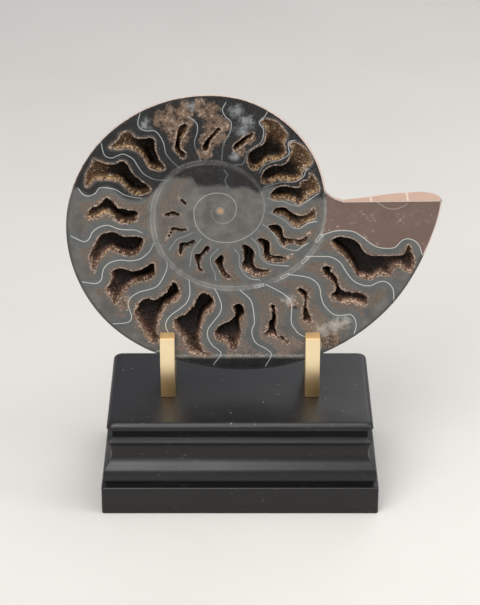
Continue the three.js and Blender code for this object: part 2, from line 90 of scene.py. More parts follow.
# The septa that show on the face, from the body chamber inwards, each from the whorl wall to the rim. The
# last two are short: one of the inner whorls, and the one at the ground end.
SEPTA = (
    ((62.5, -16), (69.5, -13.5), (76, -13), (82, -14), (86.5, -17), (92.5, -22), (97.5, -24.5), (104, -25),
     (107.5, -24), (111, -20), (114.5, -18.5), (119, -20), (122, -23.5), (124, -29.5)),
    ((53.5, -30.5), (62, -30.5), (68, -31), (73.5, -34.5), (77.5, -41), (82, -47), (87.5, -50), (93, -50.5),
     (96.5, -48.5), (101, -47.5), (105, -50), (107, -54), (107.5, -61)),
    ((43, -43), (50.5, -44), (56.5, -46), (61, -51), (62.5, -59), (65, -65), (70.5, -70.5), (76, -71),
     (80.5, -70.5), (83.5, -73.5), (84.5, -78.5), (83.5, -83.5)),
    ((28.5, -50), (34, -53), (40.5, -57.5), (44, -63.5), (44, -75.5), (46.5, -81), (49.5, -84.5),
     (54.5, -86.5), (60, -87), (63, -91), (62, -96)),
    ((12.5, -54), (19, -61.5), (21, -75.5), (19.5, -81), (20, -86.5), (22.5, -91), (27.5, -94), (31, -97),
     (31.5, -100), (28, -107)),
    ((-3.5, -53), (-1, -58.5), (0.5, -64.5), (-0.5, -69.5), (-4.5, -75.5), (-8, -81), (-8, -87), (-5, -92.5),
     (-2, -95), (0, -98.5), (-4.5, -105.5)),
    ((-19.5, -47), (-19, -55.5), (-21, -62), (-26, -67), (-30.5, -70.5), (-34, -75.5), (-34, -80.5),
     (-31, -86), (-31, -91), (-36, -95), (-42, -97)),
    ((-33, -34.5), (-33, -38.5), (-35.5, -45), (-39.5, -51), (-45.5, -53.5), (-50.5, -55), (-55.5, -58.5),
     (-57.5, -63.5), (-55.5, -72), (-58, -76), (-66.5, -77)),
    ((-41, -22), (-43.5, -27), (-49, -32), (-55.5, -33.5), (-61.5, -33), (-67.5, -34.5), (-71.5, -38),
     (-73, -42.5), (-73.5, -46), (-77, -49), (-85, -48)),
    ((-48, -14.5), (-52, -12.7), (-56, -12.5), (-62, -12), (-68.5, -9.5), (-74.5, -11), (-78.5, -14.5),
     (-80, -18), (-83.5, -20.5), (-91, -17)),
    ((-48, 8.5), (-54, 9.5), (-58.5, 11), (-64, 14.5), (-72.5, 15.5), (-75.5, 12), (-79.5, 10), (-83, 11),
     (-86, 15)),
    ((-33.5, 20.5), (-39.5, 21), (-46, 24.5), (-49.5, 29.5), (-52.5, 34.5), (-58, 37.5), (-61.5, 36.5),
     (-65.5, 35), (-69.5, 37), (-71.5, 45.5)),
    ((-25, 29), (-29, 33), (-32.5, 38), (-33.5, 43.5), (-35.5, 48.5), (-39, 52.5), (-44, 52.5), (-47.5, 54),
     (-49, 57.5), (-47.5, 64)),
    ((-12, 33.5), (-12.5, 37), (-15, 42), (-15, 47), (-13.5, 52), (-14, 57.5), (-18.5, 61.5)),
    ((1, 34), (2, 43.5), (4.5, 48.5), (6.5, 53.5), (6.5, 58.5), (3.5, 61.5), (1.5, 66), (3.5, 70.5)),
    ((9.5, 30.5), (13.5, 31), (15, 34), (16.5, 39), (20, 42), (24.5, 45), (26, 49.5), (26, 53.5),
     (24.5, 56), (23.5, 58.5), (26.5, 61.5), (28.5, 65)),
    ((24, 25.5), (25.5, 29), (29.5, 31.5), (34, 33), (38.5, 35), (41.5, 38), (41, 45), (45, 46.5)),
    ((27, 16), (31.5, 17.5), (37, 19), (42.5, 19), (46.5, 20), (50.5, 23), (51.5, 26), (53.5, 28)),
    ((29, 8.5), (34, 6.5), (38, 6.5), (42.5, 4.5), (47.5, 3.5), (51, 5.5), (59.5, 11.5)),
    ((30, -1), (35, -3.5), (40, -7), (44, -11), (48.5, -11.5), (52.5, -8.5), (58, -7)),
    ((26, -9), (30.5, -12.5), (33.5, -17), (36.5, -23), (41, -25.5), (46.5, -26.5), (50, -24), (53, -22)),
    ((19, -18), (22.5, -22), (24, -27), (25, -32), (29.5, -35.5), (35, -36.5), (41.5, -37)),
    ((9, -26), (11.5, -30), (11.5, -36), (13.5, -41), (18, -45.5), (24, -46.5)),
    ((-2, -26), (-6, -31), (-5.5, -37), (-3.5, -42), (-3, -46.5)),
    ((-12, -19), (-17, -26), (-18, -31), (-19, -37)),
    ((-17.5, -14.5), (-21.5, -17), (-26.5, -19), (-31.5, -26)),
    ((2.5, 27), (4.5, 24), (3, 20.5), (4.5, 16)),
    ((96, 5.5), (97.7, 4.1), (101, 2.2), (104.4, 1.4), (108, 1.8), (111.7, 3.4), (113.5, 5)),
)

# The lower edge of the painted dark reflection across the top of the face.
DARK_REFLECTION_EDGE = (
    (-110, 14), (-91, 15.3), (-87, 15.3), (-79, 10.1), (-73, 14.7), (-68, 16.3), (-63, 13.4), (-58, 9.4),
    (-52, 7.4), (-45, 9.4), (-38, 15.3), (-31, 21.9), (-24, 21.6), (-17, 21.3), (-13, 16.3), (2, 16.3),
    (8, 15), (16, 15.7), (23, 12), (28, 15.3), (39, 15.3), (48, 12.7), (57, 8.1), (67, 8.7), (140, 9),
)

# The beads of the siphuncle along the whorl wall: both ends of each.
BEADS = (
    ((62.3, -16.2), (64.2, -11.8)), ((58.9, -20.2), (61.4, -16.3)), ((50.4, -34.6), (53.6, -31.2)),
    ((37.8, -45.2), (41.8, -42.6)), ((21.6, -51.4), (26, -50.1)), ((64.9, -9.6), (65.6, -5.2)),
)

# Stains on the face: centre and reach.
DRUSE = (
    (-35, 60, 6), (-30, 57, 6), (-28, 64, 6), (-24, 50, 7), (-20, 67, 6), (-22, 60, 7), (-25, 42, 4),
    (-7, 65, 7), (-4, 58, 7), (-2, 50, 7), (-7, 46, 6), (2, 55, 5), (-9, 39, 5), (-12, 69, 5),
    (12, 40, 4), (18, 47, 3.5), (45, -62, 5), (68, -88, 8), (-45, -82, 6), (-60, -62, 6),
)
CLOUD = (
    (-17, 68.5, 4), (-44.8, 57, 5), (9.6, 64.7, 6), (15.6, 58.3, 7), (13.8, 52, 6), (63, -81, 7),
    (71, -78, 7), (78, -76, 6), (42, -60, 5), (9, 36, 4),
)


def respaced(dense: Array, step: float, closed: bool = False) -> Array:
    """Spaces a path's points evenly.

    Args:
        dense: The path.
        step: The wanted spacing.
        closed: Whether the last point, which repeats the first, is left out.

    Returns:
        The path with even steps of about that length.
    """
    travelled = np.concatenate([[0], np.cumsum(np.linalg.norm(np.diff(dense, axis=0), axis=1))])
    count = max(4, round(travelled[-1] / step))
    stops = np.linspace(0, travelled[-1], count + 1)[: count if closed else count + 1]
    return np.column_stack([np.interp(stops, travelled, dense[:, axis]) for axis in (0, 1)])


def smooth_path(points: Points, step: float, closed: bool = False) -> Array:
    """Runs a smooth curve through some points.

    Args:
        points: The points that the curve passes.
        step: The spacing of the result.
        closed: Whether the curve returns to its first point.

    Returns:
        Evenly spaced points, one in a row.
    """
    knots = np.asarray(points, float)
    if closed:
        knots = np.vstack([knots[-1:], knots, knots[:2]])
    else:
        knots = np.vstack([2 * knots[0] - knots[1], knots, 2 * knots[-1] - knots[-2]])
    share = np.linspace(0, 1, 16, endpoint=False)[:, None]
    spans = [
        0.5 * (2 * b + (c - a) * share + (2 * a - 5 * b + 4 * c - d) * share**2
               + (3 * b - a - 3 * c + d) * share**3)
        for a, b, c, d in zip(knots, knots[1:], knots[2:], knots[3:])
    ]
    return respaced(np.vstack(spans + [knots[-2:-1]]), step, closed)


def signed_area(path: Array) -> float:
    """The area inside a closed path, positive where the path runs counter-clockwise."""
    onward = np.roll(path, -1, 0)
    return np.sum(path[:, 0] * onward[:, 1] - path[:, 1] * onward[:, 0]) / 2


def ramp(value: Array, low: float, high: float) -> Array:
    """A smooth step from 0 at low to 1 at high."""
    share = np.clip((value - low) / (high - low), 0, 1)
    return share * share * (3 - 2 * share)


def flat(places: Iterable[Vector]) -> Array:
    """The places' x and z, one place in a row."""
    return np.array([(place.x, place.z) for place in places])


class Contour:
    """Curves on the face, and the gap from any place to the nearest of them."""

    def __init__(self, paths: Sequence[Array], closed: bool = False) -> None:
        """Samples the curves.

        Args:
            paths: Evenly spaced points along each curve.
            closed: Whether each curve returns to its first point.
        """
        self.samples = np.vstack(paths)
        self.headings = np.vstack([
            np.roll(path, -1, 0) - np.roll(path, 1, 0) if closed else np.gradient(path, axis=0)
            for path in paths
        ])
        self.headings /= np.linalg.norm(self.headings, axis=1)[:, None]
        self.tree = kdtree.KDTree(len(self.samples))
        for number, (x, z) in enumerate(self.samples):
            self.tree.insert((x, 0, z), number)
        self.tree.balance()

    def nearest(self, spots: Array) -> tuple[Array, Array]:
        """Measures gaps.

        Args:
            spots: Places on the face.

        Returns:
            For each place its gap, positive to the left of the curve, and the nearest sample's number.
        """
        found = [self.tree.find((x, 0, z)) for x, z in spots]
        number, gap = np.array([hit[1] for hit in found], int), np.array([hit[2] for hit in found])
        away = spots - self.samples[number]
        heading = self.headings[number]
        across = heading[:, 0] * away[:, 1] - heading[:, 1] * away[:, 0]
        return np.where(gap < 1.0, across, np.sign(across) * gap), number


@dataclass(frozen=True)
class Coil:
    """The form of the shell: a flat spiral with a rounded outside."""

    umbilicus: float = 0.25
    half_thickness: float = 0.145
    mouth_half_thickness: float = 13.3
    mouth_angle: float = 363
    lip_angle: float = 322
    lip_radius: float = 60
    first_chambers: float = 26.0
    flank_bluntness: float = 0.42
    rib_height: float = 0.28
    rib_turn: float = 6.2
    rim_inset: float = 0.15

    @cached_property
    def curve(self) -> Array:
        """The rim's angles and radii, closely spaced."""
        return smooth_path(SPIRAL, 1.0)

    def rim(self, angle: Array) -> Array:
        """The rim's radius at angles in degrees."""
        return np.interp(angle, self.curve[:, 0], self.curve[:, 1]) - self.rim_inset

    def rim_path(self, start: float, end: float) -> Array:
        """Runs along the rim.

        Args:
            start: The first angle in degrees.
            end: The last angle.

        Returns:
            Evenly spaced points, one in a row.
        """
        angle = np.arange(start, end, 0.5)
        turn = np.radians(angle)
        return respaced(np.column_stack([np.cos(turn), np.sin(turn)]) * self.rim(angle)[:, None], FINE)

    def outside(self, spots: Array) -> tuple[Array, Array]:
        """Lays out the shell's outside behind the face.

        Args:
            spots: Places on the face.

        Returns:
            The depth at each place, with the faint ribs of the last whorl, and the number of ribs up to it.
        """
        radius = np.linalg.norm(spots, axis=1)
        bearing = np.degrees(np.arctan2(spots[:, 1], spots[:, 0]))
        depth = 0.2 * np.sqrt(np.clip(self.first_chambers**2 - radius**2, 0, None))
        ribs = bearing / self.rib_turn
        for turn in (-360, 0, 360):
            angle = bearing + turn
            rim = self.rim(angle)
            lip = ramp(angle, self.lip_angle, self.mouth_angle)
            inner = self.umbilicus * rim * (1 - lip) + self.lip_radius * lip
            thickness = self.half_thickness * rim * (1 - lip) + self.mouth_half_thickness * lip
            across = np.clip((radius - inner) / (rim - inner), 0, 1)
            rise = across ** (0.8 + 2.5 * lip)
            flank = thickness * (4 * rise * (1 - rise)) ** self.flank_bluntness
            sweep = angle / self.rib_turn + 0.9 * np.sin(np.pi * across * 1.3)
            rib = np.sin(2 * np.pi * sweep) * ramp(across, 0.2, 0.55) * (1 - ramp(across, 0.86, 0.97))
            flank = flank + self.rib_height * rib * (flank > 4)
            flank = np.where((angle > -380) & (angle < 378) & (radius < rim), flank, 0)
            ribs = np.where(flank > depth, sweep, ribs)
            depth = np.maximum(depth, flank)
        return depth, ribs


class Sheet:
    """A grid on the face, in bmesh, trimmed to a closed curve, whose edges follow other curves too."""

    def __init__(self, edge: Contour, cell: float, others: Sequence[Contour] = ()) -> None:
        """Builds the grid.

        Args:
            edge: The closed curve around it.
            cell: The side of a grid square.
            others: More curves that its edges follow.
        """
        self.mesh = bmesh.new()
        self.cell = cell
        self.held: set[int] = set()
        low, high = edge.samples.min(0) - cell, edge.samples.max(0) + cell
        squares = [max(2, math.ceil(length / cell)) for length in high - low]
        middle = (low + high) / 2
        place = (
            Matrix.Translation((middle[0], 0, middle[1]))
            @ Matrix.Rotation(math.pi / 2, 4, "X")
            @ Matrix.Diagonal((squares[0] * cell / 2, squares[1] * cell / 2, 1, 1))
        )
        bmesh.ops.create_grid(self.mesh, x_segments=squares[0], y_segments=squares[1], size=1, matrix=place)
        beyond = edge.nearest(self.spots())[0] < -1.6 * cell
        doomed = [v for v, out in zip(self.mesh.verts, beyond) if out]
        bmesh.ops.delete(self.mesh, geom=doomed, context="VERTS")
        for contour in (edge, *others):
            self.follow(contour)
        gaps, _ = edge.nearest(flat(f.calc_center_median() for f in self.mesh.faces))
        doomed = [f for f, gap in zip(self.mesh.faces, gaps) if gap < 0]
        bmesh.ops.delete(self.mesh, geom=doomed, context="FACES")

    def spots(self) -> Array:
        """Every vertex's place on the face."""
        return flat(v.co for v in self.mesh.verts)

    def follow(self, contour: Contour) -> None:
        """Moves the vertices beside a curve onto it, and splits the squares that it crosses.

        Args:
            contour: The curve.
        """
        self.mesh.verts.ensure_lookup_table()
        gaps, numbers = contour.nearest(self.spots())
        reach = np.linalg.norm(self.spots() - contour.samples[numbers], axis=1)
        close = (np.abs(gaps) < self.cell / 2) & (reach < 0.75 * self.cell)
        pulled = []
        for vertex, beside, number in zip(self.mesh.verts, close, numbers):
            if beside and vertex.index not in self.held:
                x, z = contour.samples[number]
                vertex.co = (x, 0, z)
                pulled.append(vertex)
        self.mesh.verts.index_update()
        self.held.update(v.index for v in pulled)
        bmesh.ops.connect_verts(self.mesh, verts=pulled)


class Socket:
    """An output of a material's node tree that takes part in Python arithmetic."""

    def __init__(self, shop: "Shop", link: NodeSocket | None) -> None:
        """Wraps a socket of a shop's node tree, or nothing for a node without outputs."""
        self.shop, self.link = shop, link

    def __add__(self, other: "Socket | float") -> "Socket":
        """The sum."""
        return self.shop.maths("ADD", self, other)

    __radd__ = __add__

    def __sub__(self, other: "Socket | float") -> "Socket":
        """The difference."""
        return self.shop.maths("SUBTRACT", self, other)

    def __rsub__(self, other: float) -> "Socket":
        """The difference from a number."""
        return self.shop.maths("SUBTRACT", other, self)

    def __mul__(self, other: "Socket | float") -> "Socket":
        """The product."""
        return self.shop.maths("MULTIPLY", self, other)

    __rmul__ = __mul__

    def __or__(self, other: "Socket") -> "Socket":
        """The larger of the two, which joins two masks."""
        return self.shop.maths("MAXIMUM", self, other)

    def __abs__(self) -> "Socket":
        """The size without its sign."""
        return self.shop.maths("ABSOLUTE", self, 0.0)

    def step(self, low: float, high: float, start: float = 0, end: float = 1) -> "Socket":
        """A smooth step from start at low to end at high."""
        sockets = {"Value": self, "From Min": low, "From Max": high, "To Min": start, "To Max": end}
        return self.shop.node("ShaderNodeMapRange", {"interpolation_type": "SMOOTHSTEP"}, sockets)

    def line(self, width: float) -> "Socket":
        """A soft-edged line, from 1 where this gap is nothing to 0 at about half the line's width."""
        return self.step(width * 0.65, width * 0.25)

    def mix(self, first: "Socket | Triple", second: "Socket | Triple") -> "Socket":
        """A mix of two colours with this share of the second."""
        sockets = {"Factor_Float": self, "A_Color": first, "B_Color": second}
        return self.shop.node("ShaderNodeMix", {"data_type": "RGBA"}, sockets, "Result_Color")

    def layered(self, *layers: "tuple[Socket, Socket | Triple]") -> "Socket":
        """Lays colours over this one.

        Args:
            layers: The share and the colour of each, from the lowest up.

        Returns:
            The colour with all of them over it.
        """
        base = self
        for share, colour in layers:
            base = share.mix(base, colour)
        return base


def linear(part: float) -> float:
    """One part of a colour as a screen shows it, from 0 to 255, in the renderer's own linear values."""
    return part / 255 / 12.92 if part <= 10 else ((part / 255 + 0.055) / 1.055) ** 2.4


class Shop:
    """Builds one material's node tree."""

    def __init__(self, name: str) -> None:
        """Starts an empty material, and reads each place on the object in millimetres.

        Args:
            name: The material's name.
        """
        self.material = bpy.data.materials.new(name)
        self.material.use_nodes = True
        self.tree = self.material.node_tree
        self.tree.nodes.clear()
        spot = self.node("ShaderNodeTexCoord", out="Object")
        self.place = self.node("ShaderNodeVectorMath", {"operation": "SCALE"}, {0: spot, "Scale": 1 / MM})
        self.across = self.node("ShaderNodeSeparateXYZ", {}, {0: self.place}, "X")
        self.height = self.node("ShaderNodeSeparateXYZ", {}, {0: self.place}, "Z")

    def node(self, kind: str, settings: dict | None = None, sockets: dict | None = None,
             out: str | int = 0) -> Socket:
        """Adds a node.

        Args:
            kind: The node's type.
            settings: Its properties.
            sockets: Values, screen colours or links for its inputs, by name, identifier or number.
            out: The output wanted.

        Returns:
            That output.
        """
        made = self.tree.nodes.new(kind)
        for key, value in (settings or {}).items():
            setattr(made, key, value)
        for key, value in (sockets or {}).items():
            socket = self.find(made.inputs, key)
            if isinstance(value, Socket):
                self.tree.links.new(value.link, socket)
            else:
                socket.default_value = (*map(linear, value), 1) if socket.type == "RGBA" else value
        return Socket(self, self.find(made.outputs, out) if made.outputs else None)

    @staticmethod
    def find(sockets: Iterable[NodeSocket], key: str | int) -> NodeSocket:
        """The socket with that identifier, name or number."""
        return next((s for s in sockets if s.identifier == key), None) or sockets[key]

    def maths(self, operation: str, first: Socket | float, second: Socket | float) -> Socket:
        """One Math node."""
        return self.node("ShaderNodeMath", {"operation": operation}, {0: first, 1: second})

    def vector(self, operation: str, first: Socket, second: Triple = (0, 0, 0),
               out: str | int = 0) -> Socket:
        """One Vector Math node."""
        return self.node("ShaderNodeVectorMath", {"operation": operation}, {0: first, 1: second}, out)

    def noise(self, size: float, detail: float = 3, rough: float = 0.55,
              stretch: Triple = (1, 1, 1)) -> Socket:
        """Cloudy noise from 0 to 1 with features of a size in millimetres."""
        sockets = {"Vector": self.vector("MULTIPLY", self.place, stretch), "Scale": 1 / size}
        return self.node("ShaderNodeTexNoise", {}, {**sockets, "Detail": detail, "Roughness": rough})

    def grains(self, size: float, out: str = "Distance") -> Socket:
        """A cellular pattern with cells of a size in millimetres."""
        return self.node("ShaderNodeTexVoronoi", {}, {"Vector": self.place, "Scale": 1 / size}, out)

    def tints(self, size: float) -> Socket:
        """A random value from 0 to 1 for each cell of a size in millimetres."""
        return self.node("ShaderNodeSeparateColor", {}, {0: self.grains(size, "Color")}, "Red")

    def field(self, name: str) -> Socket:
        """A mesh attribute."""
        return self.node("ShaderNodeAttribute", {"attribute_name": name}, {}, "Fac")

    def radius(self) -> Socket:
        """The distance from the first chamber on the face, in millimetres."""
        away = self.vector("SUBTRACT", self.place, FIRST_CHAMBER)
        return self.vector("LENGTH", self.vector("MULTIPLY", away, (1, 0, 1)), out="Value")

    def finish(self, surface: dict, bump: Socket | None = None, rise: float = 0.1) -> Material:
        """Closes the tree with one surface shader.

        Args:
            surface: The shader's sockets.
            bump: A height pattern from 0 to 1.
            rise: The height of that pattern.

        Returns:
            The material.
        """
        if bump is not None:
            sockets = {"Height": bump, "Distance": rise * MM, "Strength": 1.0}
            surface = {**surface, "Normal": self.node("ShaderNodeBump", {}, sockets)}
        shader = self.node("ShaderNodeBsdfPrincipled", {}, surface)
        self.node("ShaderNodeOutputMaterial", {}, {"Surface": shader})
        return self.material


@dataclass
class PolishedFace:
    """The cut face: polished calcite with septa, whorl walls and stains, under a painted reflection."""

    septum: float = 0.56
    band: float = 3.9
    fringe: float = 0.8
    roughness: float = 0.2
    shop: Shop = field(default_factory=lambda: Shop("polished_face"))

    def __post_init__(self) -> None:
        """Lays out the noise and the masks that the layers share."""
        shop = self.shop
        self.cloud, self.fine, self.radius = shop.noise(9, 4), shop.noise(1.1, 2), shop.radius()
        self.above = shop.height - FIRST_CHAMBER.z
        # Painted reflection: dark above the reflection border and in a crescent along the bottom, grey below
        # the border.
        top = (shop.field("veil") + (self.cloud - 0.5) * 5 + (self.fine - 0.5) * 3).step(-2, 2)
        self.dark = top | (self.above + (self.cloud - 0.5) * 2).step(-100.2, -102)

    def material(self) -> Material:
        """Builds the material.

        Returns:
            The material.
        """
        base, druse = self.stains(self.calcite())
        surface = {
            "Base Color": self.lines(base),
            "Roughness": self.roughness + (self.fine - 0.5) * 0.08 + druse * 0.25,
            "Specular IOR Level": 0.22,
        }
        return self.shop.finish(surface, self.fine, 0.01)

    def calcite(self) -> Socket:
        """Colours the clear band along each septum and the stained filling between the bands, once under the
        painted grey reflection and once under the painted dark reflection.

        Returns:
            The colour.
        """
        shop, cloud, fine = self.shop, self.cloud, self.fine
        band = 1 - (shop.field("septum_gap") + (fine - 0.5) * 0.8).step(self.band - 0.6, self.band + 0.6)
        inset = (shop.field("rim") + (cloud - 0.5) * 6).step(6, 9)
        beyond = (shop.field("wall_gap") + (cloud - 0.5) * 2).step(3, 4.8) * self.radius.step(22, 30)
        filling = (1 - band) * beyond * inset
        low = self.above.step(-62, -92) * fine.step(0.3, 0.6, 0.2, 0.8)
        stain = fine.step(0.35, 0.65).mix((80, 70, 62), (108, 94, 82)).layered((low, (128, 110, 100)))
        # The calcite under the painted grey reflection.
        grey = cloud.step(0.3, 0.7).mix((80, 78, 75), (102, 99, 94)).layered(
            (band * 0.6, (82, 86, 85)),
            (filling * (cloud + (fine - 0.5) * 0.9).step(0.3, 0.62), stain),
        )
        # The calcite under the painted dark reflection.
        dark_reflection_calcite = cloud.mix((15, 14, 14), (42, 41, 40)).layered(
            (band * 0.55, (34, 36, 37)),
            (filling * cloud.step(0.4, 0.7) * 0.8, (52, 42, 34)),
        )
        return self.dark.mix(grey, dark_reflection_calcite)

    def stains(self, base: Socket) -> tuple[Socket, Socket]:
        """Adds closed crystal druse, white clouds, halos, a pale line along the painted crescent's border and
        the fringe of each hollow.

        Args:
            base: The colour so far.

        Returns:
            The colour, and where the druse is.
        """
        shop, fine, dark, radius = self.shop, self.fine, self.dark, self.radius
        lumps, tone = shop.noise(2.8, 3), shop.noise(4.5, 5, 0.7)
        speck, hollow = shop.grains(1.1, "Color"), shop.field("hollow")
        druse = (shop.field("druse") + (lumps - 0.5) * 0.9 + (fine - 0.5) * 0.3).step(0.3, 0.62)
        crumbs = tone.step(0.36, 0.54).mix((36, 28, 23), (106, 86, 70)).layered(
            ((tone + (fine - 0.5) * 0.5).step(0.55, 0.7), (158, 138, 122)),
            (speck.step(0.7, 0.95) * 0.5, (176, 158, 144)),
        )
        smoke = (shop.field("cloud") + (shop.noise(3.0, 6, 0.7) - 0.5) * 2.2).step(0.3, 1.25)
        # The clouds and the halos take another copy where the painted dark reflection lies.
        white = dark.mix((172, 168, 160), (140, 144, 144))
        # A pale line along the upper border of the painted dark crescent at the bottom.
        crescent_border_line = abs(self.above + 99.4 + (lumps - 0.5) * 2).step(1.4, 0.2) * (1 - dark)
        halo = (hollow + (fine - 0.5) * 1.2).step(2.6, 0.4) * radius.step(55, 65)
        ragged = hollow + (fine - 0.5) * 1.5 + (shop.noise(4.5, 2) - 0.5) * 1.6
        edge = ragged.step(self.fringe * 1.5, self.fringe * 0.3) * radius.step(22, 50, 0.25, 0.7)
        return base.layered(
            (druse * 0.9, crumbs),
            (smoke * 0.75, white),
            (crescent_border_line * fine.step(0.35, 0.6, 0.1, 0.5), white),
            (halo * 0.5, dark.mix((96, 86, 80), (104, 94, 88))),
            (edge, speck.step(0.2, 0.8).mix((84, 70, 61), (176, 154, 136))),
        ), druse

    def lines(self, base: Socket) -> Socket:
        """Draws the septa, the whorl wall, the siphuncle, the rim with painted shade inside it and painted
        light along its upper part, and the rock in the body chamber.

        Args:
            base: The colour so far.

        Returns:
            The colour.
        """
        shop, cloud, fine, dark, radius = self.shop, self.cloud, self.fine, self.dark, self.radius
        wall, rim, inside = shop.field("wall_gap"), shop.field("rim"), shop.field("matrix")
        # The lines and the wall band take a darker copy where the painted dark reflection lies.
        pale = dark.mix((184, 184, 178), (152, 156, 156))
        band = (wall + (fine - 0.5) * 2.2).step(2.4, 0.9) * radius.step(25, 32)
        worn = (fine + (cloud - 0.5) * 0.5).step(0.34, 0.62, 0.1, 0.42)
        sides = abs(wall - 1.25).line(0.6) * radius.step(28, 36) * cloud.step(0.42, 0.6)
        coil = wall.line(0.62) * radius.step(6.5, 12, 0.15, 0.42) * radius.step(30, 24)
        beads = abs(shop.field("bead") - 0.8).line(0.7) * 0.5
        crack = abs(shop.noise(7, 3) - 0.5).step(0.012, 0.004) * cloud.step(0.54, 0.6)
        mud = cloud.mix((92, 75, 67), (110, 91, 83)).layered(
            (fine.step(0.62, 0.8) * 0.35, (150, 130, 118)),
            (crack * 0.6, (168, 146, 132)),
        )
        matrix = inside.step(-0.2, 0.2)
        septum = abs(shop.field("septum")).line(self.septum) * shop.field("septum_gap").step(1.2, 0.9)
        septum = septum * inside.step(0.5, 1.5, 1, 0.35) * radius.step(42, 60, 0.32, 0.9)
        # The shell's edge as a pale line along the rim, painted on the upper half and the body chamber only
        # and thinner to the right: painted light from above.
        right = (shop.across - FIRST_CHAMBER.x).step(10, 50) * (1 - matrix)
        shell = (rim + (fine - 0.5) * 0.4 - right * 0.55).step(0.7, 0.35) * (self.above.step(-4, 22) | matrix)
        return base.layered(
            (band * worn, dark.mix((134, 130, 125), (108, 105, 102))),
            (sides * 0.2 | coil | beads, pale),
            (abs(radius - 2.3).line(0.5) * 0.25, pale),
            (radius.step(2.0, 1.5), (160, 128, 100)),
            (matrix, mud),
            (septum, pale),
            # Painted shade: a dark band just inside the rim.
            (rim.step(2.2, 0.6) * (1 - matrix) * 0.6, (46, 47, 47)),
            (shell * 0.9, (202, 183, 172)),
            (shop.noise(0.6, 1).step(0.69, 0.75) * 0.2, (186, 180, 170)),
        )


@dataclass(frozen=True)
class ShellOutside:
    """The outside of the shell: brown, faintly pearly, with growth lines."""

    def material(self) -> Material:
        """Builds the material.

        Returns:
            The material.
        """
        shop = Shop("shell_outside")
        cloud, fine, growth = shop.noise(22, 5), shop.noise(1.6, 4), shop.field("growth")
        base = cloud.step(0.3, 0.7).mix((118, 98, 84), (182, 160, 142)).layered(
            (shop.noise(7, 4).step(0.5, 0.75) * 0.6, (96, 84, 78)),
            (growth * 0.16, (206, 190, 172)),
            (fine.step(0.55, 0.8) * 0.5, (214, 198, 182)),
            (shop.field("rim").step(5, 0.5) * 0.7, (196, 180, 168)),
        )
        surface = {"Base Color": base, "Roughness": 0.34 + (cloud - 0.5) * 0.2}
        return shop.finish(surface, growth * 0.6 + fine * 0.5, 0.12)


@dataclass(frozen=True)
class GroundEnd:
    """The ground end of the body chamber: fine pinkish rock with white veins."""

    veins: tuple[float, ...] = (79.5, 102.0)

    def material(self) -> Material:
        """Builds the material.

        Returns:
            The material.
        """
        shop = Shop("ground_end")
        cloud, fine = shop.noise(8, 4), shop.noise(0.9, 3)
        gaps = [abs(shop.across - vein + (cloud - 0.5) * 2) for vein in self.veins]
        base = cloud.mix((150, 120, 102), (169, 138, 119)).layered(
            (fine.step(0.5, 0.8) * 0.4, (134, 104, 88)),
            *((gap.step(0.7, 0.25) * 0.7, (200, 184, 170)) for gap in gaps),
        )
        return shop.finish({"Base Color": base, "Roughness": 0.45}, fine, 0.05)


@dataclass(frozen=True)
class DarkRock:
    """The dark rock under the crystals."""

    def material(self) -> Material:
        """Builds the material.

        Returns:
            The material.
        """
        shop = Shop("dark_rock")
        base = shop.noise(1.5, 3).mix((38, 25, 17), (84, 60, 42))
        return shop.finish({"Base Color": base, "Roughness": 0.5})


@dataclass(frozen=True)
class Crystals:
    """The crystals that line a hollow: tawny, yellower above, and grey on the left of the inner whorls, with
    painted light on walls that face up, painted shade deeper in and painted glints.
    """

    def material(self) -> Material:
        """Builds the material.

        Returns:
            The material.
        """
        shop = Shop("calcite_crystals")
        grain, lumps = shop.tints(0.8), shop.noise(2.4, 3, 0.6)
        above = shop.height - FIRST_CHAMBER.z
        upper = (above + (shop.noise(30, 2) - 0.5) * 60).step(-50, 30)
        inner = (shop.across - FIRST_CHAMBER.x).step(0, -14) * shop.radius().step(48, 40)
        honey = inner.mix(upper.mix((166, 136, 114), (164, 134, 96)), (128, 124, 118))
        brown = inner.mix(upper.mix((92, 66, 54), (84, 60, 37)), (66, 62, 58))
        # Painted light and shade: honey where the wall faces up, brown deeper in, near black in the deepest
        # parts.
        painted_shade_depth = shop.field("sunk") - shop.field("shelf") * 2.6 + (lumps - 0.5) * 6
        base = (painted_shade_depth + (grain - 0.5) * 1.6).step(-0.4, 1.8).mix(honey, brown).layered(
            ((lumps + (grain - 0.5) * 0.3).step(0.55, 0.35) * 0.7, (44, 29, 21)),
            # Painted glints on a few crystals.
            (grain.step(0.82, 0.95) * 0.5, (206, 184, 158)),
            (grain.step(0.25, 0.05) * 0.5, (46, 30, 22)),
            ((painted_shade_depth + (grain - 0.5) * 2.0).step(1.9, 4.7) * 0.95, (11, 6, 3)),
        )
        surface = {"Base Color": base, "Roughness": 0.45, "Specular IOR Level": 0.16}
        return shop.finish(surface, shop.grains(1.1), 0.5)


@dataclass(frozen=True)
class BrushedBrass:
    """Brass bar with a fine brushed grain along it, a rougher sawn end, and a painted reflection that darkens
    its lower part.
    """

    end_height: float = 102.6

    def material(self) -> Material:
        """Builds the material.

        Returns:
            The material.
        """
        shop = Shop("brushed_brass")
        brushed = shop.noise(0.5, 3, 0.6, (1, 1, 0.03))
        end = shop.height.step(self.end_height, self.end_height + 0.5)
        base = brushed.mix((254, 230, 182), (255, 238, 202)).layered(
            (shop.noise(12, 3).step(0.45, 0.75) * 0.2, (242, 210, 154)),
            # Painted reflection of the dark plinth top: the lower part of each bar darker and warmer.
            (shop.height.step(88, 66) * 0.8, (236, 190, 120)),
            (end * 0.7, (226, 184, 122)),
        )
        surface = {"Base Color": base, "Metallic": 1.0, "Roughness": 0.26 + brushed * 0.16 + end * 0.3}
        return shop.finish(surface, brushed, 0.012)


